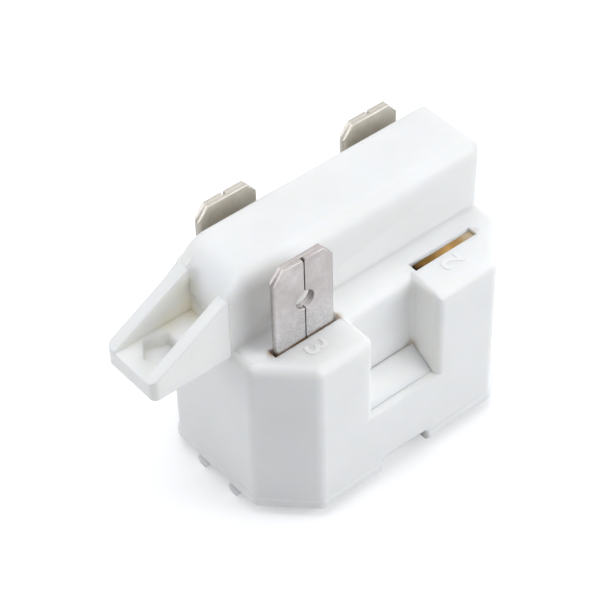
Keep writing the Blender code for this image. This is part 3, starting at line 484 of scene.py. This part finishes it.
def stacked(name, rings):
    """A closed solid through rings of points, given as an array of rings, points and places.

    Neighbouring rings are joined by quads, and the first and last are filled.
    """
    count, size = rings.shape[:2]
    corner = np.arange(size)
    following = (corner + 1) % size
    faces = [corner.tolist()[::-1], (corner + (count - 1) * size).tolist()]
    for level in range(count - 1):
        low, high = level * size, (level + 1) * size
        quads = [corner + low, following + low, following + high, corner + high]
        faces += np.column_stack(quads).tolist()
    mesh = bpy.data.meshes.new(name)
    mesh.from_pydata(rings.reshape(-1, 3).tolist(), [], faces)
    shape = bmesh.new()
    shape.from_mesh(mesh)
    bmesh.ops.recalc_face_normals(shape, faces=shape.faces)
    shape.to_mesh(mesh)
    shape.free()
    made = bpy.data.objects.new(name, mesh)
    bpy.context.scene.collection.objects.link(made)
    return made


def upright(name, x, y, low, high):
    """A closed solid with upright walls round an outline, between two heights."""
    rings = [np.column_stack([x, y, np.full(len(x), level)]) for level in (low, high)]
    return stacked(name, np.stack(rings))


def ridge_end_trim():
    """What lies over the ridge's rounded left end near its rear face.

    Each ring is an arc of radius R - e (1 - cos t) over the end, closed outside it, at the depth
    e sin t of the rear edge's rounding e, which grows smaller towards the ridge's top.
    """
    turn = np.linspace(0.0, math.pi / 2, REAR_EDGE_STEPS)
    depth = np.concatenate([[-OVERLAP], REAR_EDGE * np.sin(turn), [2 * REAR_EDGE]])
    depth = depth + RIDGE_REAR - REAR_EDGE
    inset = np.concatenate([[0.0], REAR_EDGE * (1 - np.cos(turn)), [REAR_EDGE]])[:, None]
    angle = np.radians(np.linspace(180.0, 90.0, END_STEPS))
    up = (math.pi - angle) * 2 / math.pi
    fade = np.clip(1 - (1 - REAR_EDGE_AT_TOP) * up, 0.0, 1.0)
    radius = RIDGE_END_RADIUS - inset * fade
    foot = DECK_ABOVE_RIM + OVERLAP
    over = RIDGE_END.y + 1.5 * RIDGE_END_RADIUS
    outer_x = np.tile([[RIDGE_END.x, -REAR_EDGE, -REAR_EDGE]], (len(depth), 1))
    outer_z = np.tile([[over, over, foot]], (len(depth), 1))
    x = LEFT + np.hstack([inset, RIDGE_END.x + radius * np.cos(angle), outer_x])
    z = RIM + np.hstack([np.full_like(inset, foot), RIDGE_END.y + radius * np.sin(angle),
                         outer_z])
    y = np.repeat(FRONT + depth[:, None], x.shape[1], axis=1)
    return stacked("ridge_end_trim", np.stack([x, y, z], axis=2))


def ear_web():
    """The web that closes the ear's hole: a plate that reaches into the wall round the hole.

    Its five corners lie a fifth of a turn apart on a circle round the hole's middle.
    """
    turn = math.pi / 2 + np.arange(HOLE_SIDES) * 2 * math.pi / HOLE_SIDES
    reach = HOLE_CORNER + WEB
    return upright("ear_web", LEFT - HOLE_FROM_LEFT + reach * np.cos(turn),
                   FRONT + HOLE_MIDDLE + reach * np.sin(turn),
                   RIM + EAR_BOTTOM + WEB_LIFT * WEB, RIM + EAR_BOTTOM + WEB)


def gusset_blend():
    """Where the rear gusset runs into the ridge.

    Sections across the gusset: by a smooth step s^2 (3 - 2 s) along it, the rear side swings out
    from the gusset's rear face to the ridge's, and the top's rear edge falls below the crest.
    The crest follows the gusset's slope and then the arc of the ridge's end.
    """
    share = np.linspace(0.0, 1.0, BLEND_STEPS)
    swing = share ** 2 * (3 - 2 * share)
    along = BLEND_START + share * (BLEND_END - BLEND_START)
    rear = EAR_REAR + swing * (RIDGE_REAR - EAR_REAR - OVERLAP)
    gusset = GUSSET_LEVEL + GUSSET_SLOPE * np.minimum(along, 0.0)
    edge = gusset + swing * (BLEND_EDGE - gusset)
    rise = np.sqrt(np.clip(RIDGE_END_RADIUS ** 2 - (RIDGE_END.x - along) ** 2, 0.0, None))
    crest = np.where(along < 0.0, gusset, RIDGE_END.y + rise) - OVERLAP
    inner = np.full_like(share, EAR_REAR - BLEND_DEPTH)
    foot = np.full_like(share, DECK_ABOVE_RIM + OVERLAP)
    x = LEFT + np.tile(along[:, None], (1, 4))
    y = FRONT + np.column_stack([inner, rear, rear, inner])
    z = RIM + np.column_stack([foot, foot, edge, crest])
    return stacked("gusset_blend", np.stack([x, y, z], axis=2))


def corner_trim(x, y, away_x, away_y, radius, low, high):
    """What lies outside the rounding of an upright corner.

    The outline is the arc x - r (1 - cos t), y - r (1 - sin t), closed by points outside the
    corner; the signs of away_x and away_y say which way is outside.
    """
    turn = np.linspace(0.0, math.pi / 2, CORNER_STEPS)
    arc_x = x - away_x * radius * (1 - np.cos(turn))
    arc_y = y - away_y * radius * (1 - np.sin(turn))
    around_x = np.concatenate([arc_x, x + away_x * radius * np.array([-1, 1, 1])])
    around_y = np.concatenate([arc_y, y + away_y * radius * np.array([1, 1, -1])])
    return upright("corner_trim", around_x, around_y, low, high)


def round_corners(made):
    """Round the ear's free end and the upright outer edges of both notches."""
    for y, away_y in ((FRONT + EAR_FRONT, -1), (FRONT + EAR_REAR, 1)):
        combined(made, "DIFFERENCE",
                 corner_trim(LEFT - EAR_LENGTH, y, -1, away_y, EAR_CORNER,
                             RIM + EAR_BOTTOM - EAR_CORNER, DECK + EAR_TRIM_ABOVE_DECK))
    for y, away_y in ((FRONT, -1), (-FRONT, 1)):
        for x, away_x in ((LEFT + NOTCH_START, 1), (LEFT + NOTCH_END, -1)):
            combined(made, "DIFFERENCE",
                     corner_trim(x, y, away_x, away_y, NOTCH_EDGE,
                                 RIM + SILL, DECK + NOTCH_TRIM_ABOVE_DECK))


def moulded_housing():
    """The housing with the forms that its solid leaves out."""
    made = welded("housing", "moulded_housing", "white_moulding", WHITE)
    combined(made, "DIFFERENCE", ridge_end_trim())
    combined(made, "UNION", gusset_blend())
    combined(made, "UNION", ear_web())
    round_corners(made)
    shaded(made, MOULDING_SHARP)


def moulded_base():
    """The base, with its snap arms as near to the sides of the notches as the real ones are.

    Points above the sill move apart along X; the barbs' lips fall and their crowns rise; the
    arms' backs move inwards along Y.
    """
    made = welded("base_cover", "moulded_base", "base_moulding", BASE)
    place = places_of(made.data)
    on_arm = place[:, 2] > RIM + SILL
    middle = (place[on_arm, 0].min() + place[on_arm, 0].max()) / 2
    place[on_arm, 0] += np.sign(place[on_arm, 0] - middle) * ARM_SIDE
    depth = BODY_WIDTH / 2 - np.abs(place[:, 1])
    lip = on_arm & (place[:, 2] < RIM + LIP_LEVEL) & (depth < LIP_DEPTH)
    place[lip, 2] -= LIP_DROP
    crown = place[:, 2] > place[:, 2].max() - SAME_FACE
    place[crown, 2] += BARB_RISE
    back = on_arm & (depth > BACK_DEPTH)
    place[back, 1] -= np.sign(place[back, 1]) * ARM_BACK
    put_places(made.data, place)
    shaded(made, MOULDING_SHARP)


def contact_plate():
    """The bare plate in the open slot: its front face and its right end move to the slot's."""
    made = welded("slot_contact", "bare_contact_plate", "bare_brass", CONTACT)
    place = places_of(made.data)
    front = place[:, 1] < place[:, 1].min() + SAME_FACE
    place[front, 1] -= CONTACT_FORWARD
    end = place[:, 0] > place[:, 0].max() - SAME_FACE
    place[end, 0] += CONTACT_RIGHT
    put_places(made.data, place)
    edge = made.modifiers.new("edge", "BEVEL")
    edge.width = CONTACT_EDGE
    edge.segments = CONTACT_EDGE_STEPS
    shaded(made, MOULDING_SHARP)


def moved_in(loop, distance):
    """A closed outline with each side moved inwards by its own distance.

    Two moved sides meet in a new corner; where they lie in one line, the corner moves with them.
    """
    step = np.roll(loop, -1, axis=0) - loop
    step /= np.linalg.norm(step, axis=1)[:, None]
    inward = np.stack([-step[:, 1], step[:, 0]], axis=1)
    before, reach = np.roll(inward, 1, axis=0), np.roll(distance, 1)
    cross = before[:, 0] * inward[:, 1] - before[:, 1] * inward[:, 0]
    in_line = np.abs(cross) < IN_LINE
    safe = np.where(in_line, 1.0, cross)
    shift = np.stack([(reach * inward[:, 1] - distance * before[:, 1]) / safe,
                      (distance * before[:, 0] - reach * inward[:, 0]) / safe], axis=1)
    return loop + np.where(in_line[:, None], inward * distance[:, None], shift)


def rounding(radius, depth):
    """How far a rounded edge stands back at a depth: r - sqrt(r^2 - (r - depth)^2)."""
    rest = np.clip(radius - depth, 0.0, None)
    return radius - np.sqrt(np.clip(radius ** 2 - rest ** 2, 0.0, None))


def sheet(loops, start, direction):
    """One sheet between two faces along Y, as its points and faces.

    Each loop is an outline with its sides' outer and inner radii. A ring of points is worked out
    at every depth from the outline moved in by the rounding there; rings are joined by quads and
    both faces are filled.
    """
    depths = np.unique(np.concatenate([FOLD_RADIUS * OUTER_STEPS, [SHEET - INNER_RADIUS],
                                       SHEET - INNER_RADIUS * INNER_STEPS]))
    points, faces, first = [], [], 0
    caps = ([], [])
    for outline, outer, inner in loops:
        count = len(outline)
        for depth in depths:
            ring = moved_in(outline, rounding(outer, depth) + rounding(inner, SHEET - depth))
            level = np.full(count, start + direction * depth)
            points.append(np.column_stack([ring[:, 0], level, ring[:, 1]]))
        corner = first + np.arange(count)
        following = first + (np.arange(count) + 1) % count
        for level in range(len(depths) - 1):
            near, far = level * count, (level + 1) * count
            quads = [corner + near, corner + far, following + far, following + near]
            faces += np.column_stack(quads).tolist()
        caps[0].append((corner, points[-len(depths)]))
        caps[1].append((corner + (len(depths) - 1) * count, points[-1]))
        first += count * len(depths)
    for cap, turn in zip(caps, (1, -1)):
        indices = np.concatenate([index for index, _ in cap])
        flat = [[Vector((x, z, 0.0)) for x, _, z in ring] for _, ring in cap]
        for triangle in tessellate_polygon(flat):
            corners = np.concatenate([ring for _, ring in cap])[list(triangle)]
            a, b = corners[1] - corners[0], corners[2] - corners[0]
            seen = a[2] * b[0] - a[0] * b[2]
            order = triangle if seen * turn < 0 else triangle[::-1]
            faces.append([int(indices[i]) for i in order])
    if direction < 0:
        faces = [face[::-1] for face in faces]
    return np.concatenate(points), faces


def arc(centre, radius, start, stop, steps):
    """Points on a circle between two angles in degrees."""
    turns = np.radians(np.linspace(start, stop, steps))
    return np.column_stack([centre[0] + radius * np.cos(turns),
                            centre[1] + radius * np.sin(turns)])


def folded_blade(name, node, rivet, seam_in_front, shank_on_left):
    """A blade of sheet folded over from both sides: a whole sheet, and two flaps with a seam.

    The flaps' outer upright sides and the whole sheet's are rounded with the fold's radius, so
    that together they make a half-round edge; every sheared edge has a small rounding.
    """
    low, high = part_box(node)
    middle = (low.x + high.x) / 2
    shoulder = DECK - SHOULDER_BELOW_DECK
    hole = np.array([middle, high.z - HOLE_BELOW_TOP])
    rivet_low, rivet_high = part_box(rivet)
    x0, x1, shank_end = low.x, high.x, low.x + SHANK_WIDTH
    rivet_x = (rivet_low.x + rivet_high.x) / 2
    if not shank_on_left:
        rivet_x = 2 * middle - rivet_x
    rivet_centre = np.array([rivet_x, (rivet_low.z + rivet_high.z) / 2])
    level = high.z - CORNER.y
    meet = math.degrees(math.asin(SEAM / 2 / HOLE_RADIUS))
    side_l, side_r = middle - SEAM / 2, middle + SEAM / 2

    whole = np.array([(x0, low.z), (shank_end, low.z), (shank_end, shoulder), (x1, shoulder),
                      (x1, level), (x1 - CORNER.x, high.z), (x0 + CORNER.x, high.z),
                      (x0, level)])
    left_arc = arc(hole, HOLE_RADIUS, 270 - meet, 90 + meet, HOLE_STEPS // 2)
    right_arc = arc(hole, HOLE_RADIUS, 90 - meet, -90 + meet, HOLE_STEPS // 2)
    left = np.vstack([[(x0, low.z), (shank_end, low.z), (shank_end, shoulder),
                       (side_l, shoulder)], left_arc,
                      [(side_l, high.z - SEAM_CORNER.y), (side_l - SEAM_CORNER.x, high.z),
                       (x0 + CORNER.x, high.z), (x0, level)]])
    right = np.vstack([[(side_r, shoulder), (x1, shoulder), (x1, level),
                        (x1 - CORNER.x, high.z), (side_r + SEAM_CORNER.x / 2, high.z),
                        (side_r, high.z - SEAM_CORNER.y / 2)], right_arc])
    hole_loop = arc(hole, HOLE_RADIUS, 360, 360 / HOLE_STEPS, HOLE_STEPS)
    rivet_loop = arc(rivet_centre, RIVET_HOLE_RADIUS, 360, 360 / HOLE_STEPS, HOLE_STEPS)

    def with_radii(loop, is_hole=False):
        """A loop with its sides' radii, turned round where the shank is on the right."""
        ends = np.stack([loop[:, 0], np.roll(loop[:, 0], -1)])
        on_left = (np.abs(ends - x0) < ON_EDGE).all(axis=0)
        on_fold = on_left | (np.abs(ends - x1) < ON_EDGE).all(axis=0)
        outer = np.where(on_fold, FOLD_RADIUS, SHEAR_RADIUS)
        inner = np.where(on_fold, 0.0, INNER_RADIUS)
        if is_hole:
            outer[:], inner[:] = SHEAR_RADIUS, INNER_RADIUS
        if not shank_on_left:
            loop = np.column_stack([2 * middle - loop[:, 0], loop[:, 1]])[::-1]
            outer, inner = np.roll(outer[::-1], -1), np.roll(inner[::-1], -1)
        return loop, outer, inner

    seam_side, plain_side = (low.y, 1), (high.y, -1)
    if not seam_in_front:
        seam_side, plain_side = plain_side, seam_side
    shells = [sheet([with_radii(left), with_radii(rivet_loop, True)], *seam_side),
              sheet([with_radii(right)], *seam_side),
              sheet([with_radii(whole), with_radii(hole_loop, True),
                     with_radii(rivet_loop, True)], *plain_side)]
    points, faces, first = [], [], 0
    for shell_points, shell_faces in shells:
        points.append(shell_points)
        faces += [[index + first for index in face] for face in shell_faces]
        first += len(shell_points)
    mesh = bpy.data.meshes.new(name)
    mesh.from_pydata(np.concatenate(points).tolist(), [], faces)
    # The rear blades take the tin that is painted lighter, a painted reflection
    made = piece(name, mesh, "plated_brass", TINNED if seam_in_front else REAR_TIN_PAINTED_LIGHTER, node)
    shaded(made, BLADE_SHARP)


def numeral(name, figure, along, across, turn):
    """A raised figure on the deck: its outline pushed up, with a small rounding on its rim."""
    curve = bpy.data.curves.new(name, "FONT")
    curve.body = figure
    curve.size = NUMERAL_SIZE
    curve.align_x = "CENTER"
    curve.align_y = "CENTER"
    curve.extrude = NUMERAL_HEIGHT - NUMERAL_EDGE
    curve.bevel_depth = NUMERAL_EDGE
    curve.bevel_resolution = NUMERAL_EDGE_STEPS
    curve.offset = NUMERAL_STROKE - NUMERAL_EDGE
    holder = bpy.data.objects.new(name, curve)
    mesh = bpy.data.meshes.new_from_object(holder)
    bpy.data.objects.remove(holder)
    mesh.transform(Matrix.Translation((LEFT + along, FRONT + across, DECK))
                   @ Matrix.Rotation(math.radians(turn), 4, "Z"))
    piece(name, mesh, "white_moulding", RELIEF)


def photograph_camera():
    """The camera at the photograph's angle."""
    data = bpy.data.cameras.new("camera")
    data.sensor_width = SENSOR
    data.lens = CAMERA_FOCAL / PHOTO_SIDE * SENSOR
    data.clip_start = CAMERA_NEAR
    camera = bpy.data.objects.new("camera", data)
    bpy.context.scene.collection.objects.link(camera)
    back = -CAMERA_FORWARD.normalized()
    right = Vector((0, 0, 1)).cross(back).normalized()
    right.rotate(Matrix.Rotation(CAMERA_ROLL, 3, back))
    up = back.cross(right)
    turn = Matrix((right, up, back)).transposed().to_4x4()
    camera.matrix_world = Matrix.Translation(ORIGIN + CAMERA_PLACE) @ turn
    bpy.context.scene.camera = camera


def softbox(name, place, size, power):
    """A square lamp that faces the relay."""
    data = bpy.data.lights.new(name, "AREA")
    data.size = size
    data.energy = power
    data.color = linear(DAYLIGHT)[:3]
    lamp = bpy.data.objects.new(name, data)
    lamp.location = place
    lamp.rotation_euler = (AIM - Vector(place)).to_track_quat("-Z", "Y").to_euler()
    bpy.context.scene.collection.objects.link(lamp)


def in_view(tree):
    """1 for rays that the picture shows, also by way of metal or glass, and 0 for the rest."""
    ray = add(tree, "LightPath").outputs
    either = add(tree, "Math", {0: ray["Is Camera Ray"], 1: ray["Is Glossy Ray"]},
                 operation="MAXIMUM")
    return add(tree, "Math", {0: either.outputs[0], 1: ray["Is Transmission Ray"]},
               operation="MAXIMUM").outputs[0]


def card():
    """White uncoated card: matt, faintly uneven from its fibres, and a little brighter in view."""
    made, tree, shader, place = finish("white_card", 0.0, {"Roughness": 0.9,
                                                           "Specular IOR Level": 0.1,
                                                           "Emission Color": (1, 1, 1, 1)})
    fibre = add(tree, "TexNoise", {"Vector": place, "Scale": per(CARD_FIBRE)})
    tone = add(tree, "ValToRGB", {"Fac": fibre.outputs["Fac"]},
               [(0.0, "#e4e4e4"), (1.0, "#eaeaea")])
    glow = add(tree, "MapRange", {"Value": in_view(tree), "To Max": FLOOR_GLOW})
    tree.links.new(tone.outputs["Color"], shader.inputs["Base Color"])
    tree.links.new(glow.outputs["Result"], shader.inputs["Emission Strength"])
    return made


def studio():
    """A white floor, a white surround, and soft lamps above, at the front and on both sides."""
    far = FLOOR_REACH
    mesh = bpy.data.meshes.new("floor")
    mesh.from_pydata([(-far, -far, 0), (far, -far, 0), (far, far, 0), (-far, far, 0)], [],
                     [(0, 1, 2, 3)])
    mesh.materials.append(card())
    floor = bpy.data.objects.new("floor", mesh)
    bpy.context.scene.collection.objects.link(floor)

    world = bpy.data.worlds.new("studio")
    bpy.context.scene.world = world
    world.use_nodes = True
    tree = world.node_tree
    background = tree.nodes["Background"]
    seen = in_view(tree)
    level = add(tree, "MapRange", {"Value": seen, "To Min": AMBIENT, "To Max": 1.0})
    tint = add(tree, "Mix", {0: seen, MIX_A: linear(DAYLIGHT), MIX_B: linear("#ffffff")},
               data_type="RGBA")
    tree.links.new(level.outputs["Result"], background.inputs["Strength"])
    tree.links.new(tint.outputs[MIX_RESULT], background.inputs["Color"])

    for lamp in SOFTBOXES:
        softbox(*lamp)


# The inner solids keep their shapes and get these materials
for item in frame["record"]["subparts"]:
    for held in frame["nodes"][item["node"]].material_slots:
        held.link = "OBJECT"
        held.material = FINISHES[item["material_slot"]]

moulded_housing()
moulded_base()
contact_plate()
folded_blade("front_left_blade", "front_left_tab", "front_tab_rivet",
             seam_in_front=True, shank_on_left=True)
folded_blade("rear_left_blade", "rear_left_tab", "rear_left_tab_rivet",
             seam_in_front=False, shank_on_left=True)
folded_blade("rear_right_blade", "rear_right_tab", "rear_right_tab_rivet",
             seam_in_front=False, shank_on_left=False)
for figure in NUMERALS:
    numeral(*figure)

photograph_camera()
studio()

bpy.context.scene.view_settings.view_transform = "Standard"
